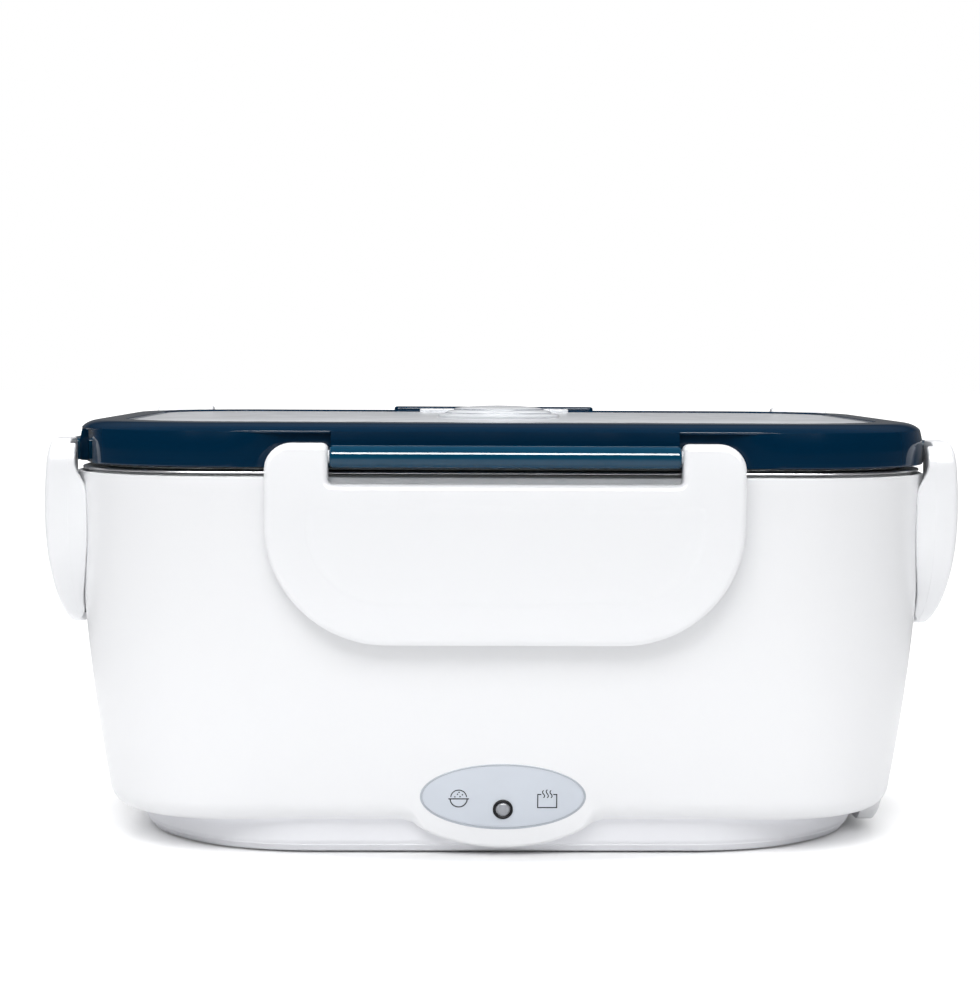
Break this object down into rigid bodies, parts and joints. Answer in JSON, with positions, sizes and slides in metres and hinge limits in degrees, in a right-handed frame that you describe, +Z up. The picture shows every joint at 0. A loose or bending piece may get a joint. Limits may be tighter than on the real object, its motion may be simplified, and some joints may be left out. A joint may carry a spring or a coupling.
{
  "type": "heated lunch box",
  "caption": "Heated lunch box with a white housing, a lift-out steel container and a dark blue lift-off lid with swing latches, a cutlery cover, a steam vent and a carrying handle.",
  "frame": {"origin": "on the table, under the middle of the lunch box", "axes": "+X to the right along the long side, -Y towards the front with the label, +Z up"},
  "size_m": [0.2354, 0.176, 0.1133],
  "materials": {
    "housing_white": "smooth satin moulded shell",
    "base_white": "fine matt moulded base",
    "foot_rubber": "soft matt pads",
    "screw_steel": "plated screws",
    "tub_plastic": "heat-resistant moulding",
    "plate_aluminium": "turned face",
    "heater_ceramic": "heater block in a thin sleeve",
    "clamp_steel": "pressed strip",
    "thermostat_resin": "phenolic body with metal strap",
    "fuse_metal": "coated can with tinned leads",
    "inlet_black": "black moulded inlet",
    "pin_brass": "plated pins",
    "label_grey": "printed oval film",
    "bezel_black": "black ring",
    "lamp_lens": "diffuse lamp",
    "board_green": "small circuit board",
    "wire_brown": "brown sleeve",
    "wire_blue": "blue sleeve",
    "wire_red": "red sleeve",
    "wire_black": "black sleeve",
    "container_steel": "brushed stainless steel",
    "box_plastic": "milky food plastic",
    "lid_blue": "high gloss dark blue",
    "inner_white": "food plastic",
    "seal_silicone": "white silicone",
    "cover_milky": "milky clear plastic",
    "vent_milky": "milky clear silicone",
    "spoon_steel": "polished steel",
    "latch_white": "smooth white latch",
    "handle_white": "smooth white handle"
  },
  "bodies": {
    "housing": {"outer_housing": "housing_white", "base_cover": "base_white", "feet": "foot_rubber", "base_screws": "screw_steel", "inner_tub": "tub_plastic", "heating_plate": "plate_aluminium", "ptc_heater": "heater_ceramic", "heater_clamp": "clamp_steel", "clamp_screws": "screw_steel", "thermostat": "thermostat_resin", "thermostat_screws": "screw_steel", "thermal_fuse": "fuse_metal", "inlet_socket": "inlet_black", "inlet_pins": "pin_brass", "indicator_label": "label_grey", "led_bezel": "bezel_black", "led_lamp": "lamp_lens", "led_board": "board_green", "live_wire": "wire_brown", "neutral_wire": "wire_blue", "link_wires": "wire_red", "led_wires": "wire_black"},
    "container": {"container": "container_steel"},
    "side_box": {"side_box": "box_plastic"},
    "lid": {"lid_shell": "lid_blue", "inner_lid": "inner_white", "lid_seal": "seal_silicone", "spoon": "spoon_steel"},
    "cover": {"cutlery_cover": "cover_milky"},
    "vent": {"steam_vent": "vent_milky"},
    "latch_front": {"latch_front": "latch_white"},
    "latch_rear": {"latch_rear": "latch_white"},
    "latch_left": {"latch_left": "latch_white"},
    "latch_right": {"latch_right": "latch_white"},
    "handle": {"carry_handle": "handle_white"}
  },
  "joints": [
    {"name": "container_lift", "type": "slide", "parent": "housing", "child": "container", "axis": [0, 0, 1], "range_m": [0, 0.11]},
    {"name": "side_box_lift", "type": "slide", "parent": "container", "child": "side_box", "axis": [0, 0, 1], "range_m": [0, 0.09]},
    {"name": "lid_lift", "type": "slide", "parent": "side_box", "child": "lid", "axis": [0, 0, 1], "range_m": [0, 0.06]},
    {"name": "front_latch_hinge", "type": "hinge", "parent": "lid", "child": "latch_front", "pos_m": [0, -0.0844, 0.1022], "axis": [-1, 0, 0], "range_deg": [0, 135]},
    {"name": "rear_latch_hinge", "type": "hinge", "parent": "lid", "child": "latch_rear", "pos_m": [0, 0.0844, 0.1022], "axis": [1, 0, 0], "range_deg": [0, 135]},
    {"name": "left_latch_hinge", "type": "hinge", "parent": "lid", "child": "latch_left", "pos_m": [-0.1144, 0, 0.1022], "axis": [0, 1, 0], "range_deg": [0, 135]},
    {"name": "right_latch_hinge", "type": "hinge", "parent": "lid", "child": "latch_right", "pos_m": [0.1144, 0, 0.1022], "axis": [0, -1, 0], "range_deg": [0, 135]},
    {"name": "handle_hinge", "type": "hinge", "parent": "lid", "child": "handle", "pos_m": [0, 0.0831, 0.10615], "axis": [1, 0, 0], "range_deg": [0, 180]},
    {"name": "cover_hinge", "type": "hinge", "parent": "lid", "child": "cover", "pos_m": [0, -0.066, 0.10898], "axis": [1, 0, 0], "range_deg": [0, 80]},
    {"name": "vent_slide", "type": "slide", "parent": "lid", "child": "vent", "axis": [0, 0, 1], "range_m": [0, 0.004]}
  ]
}
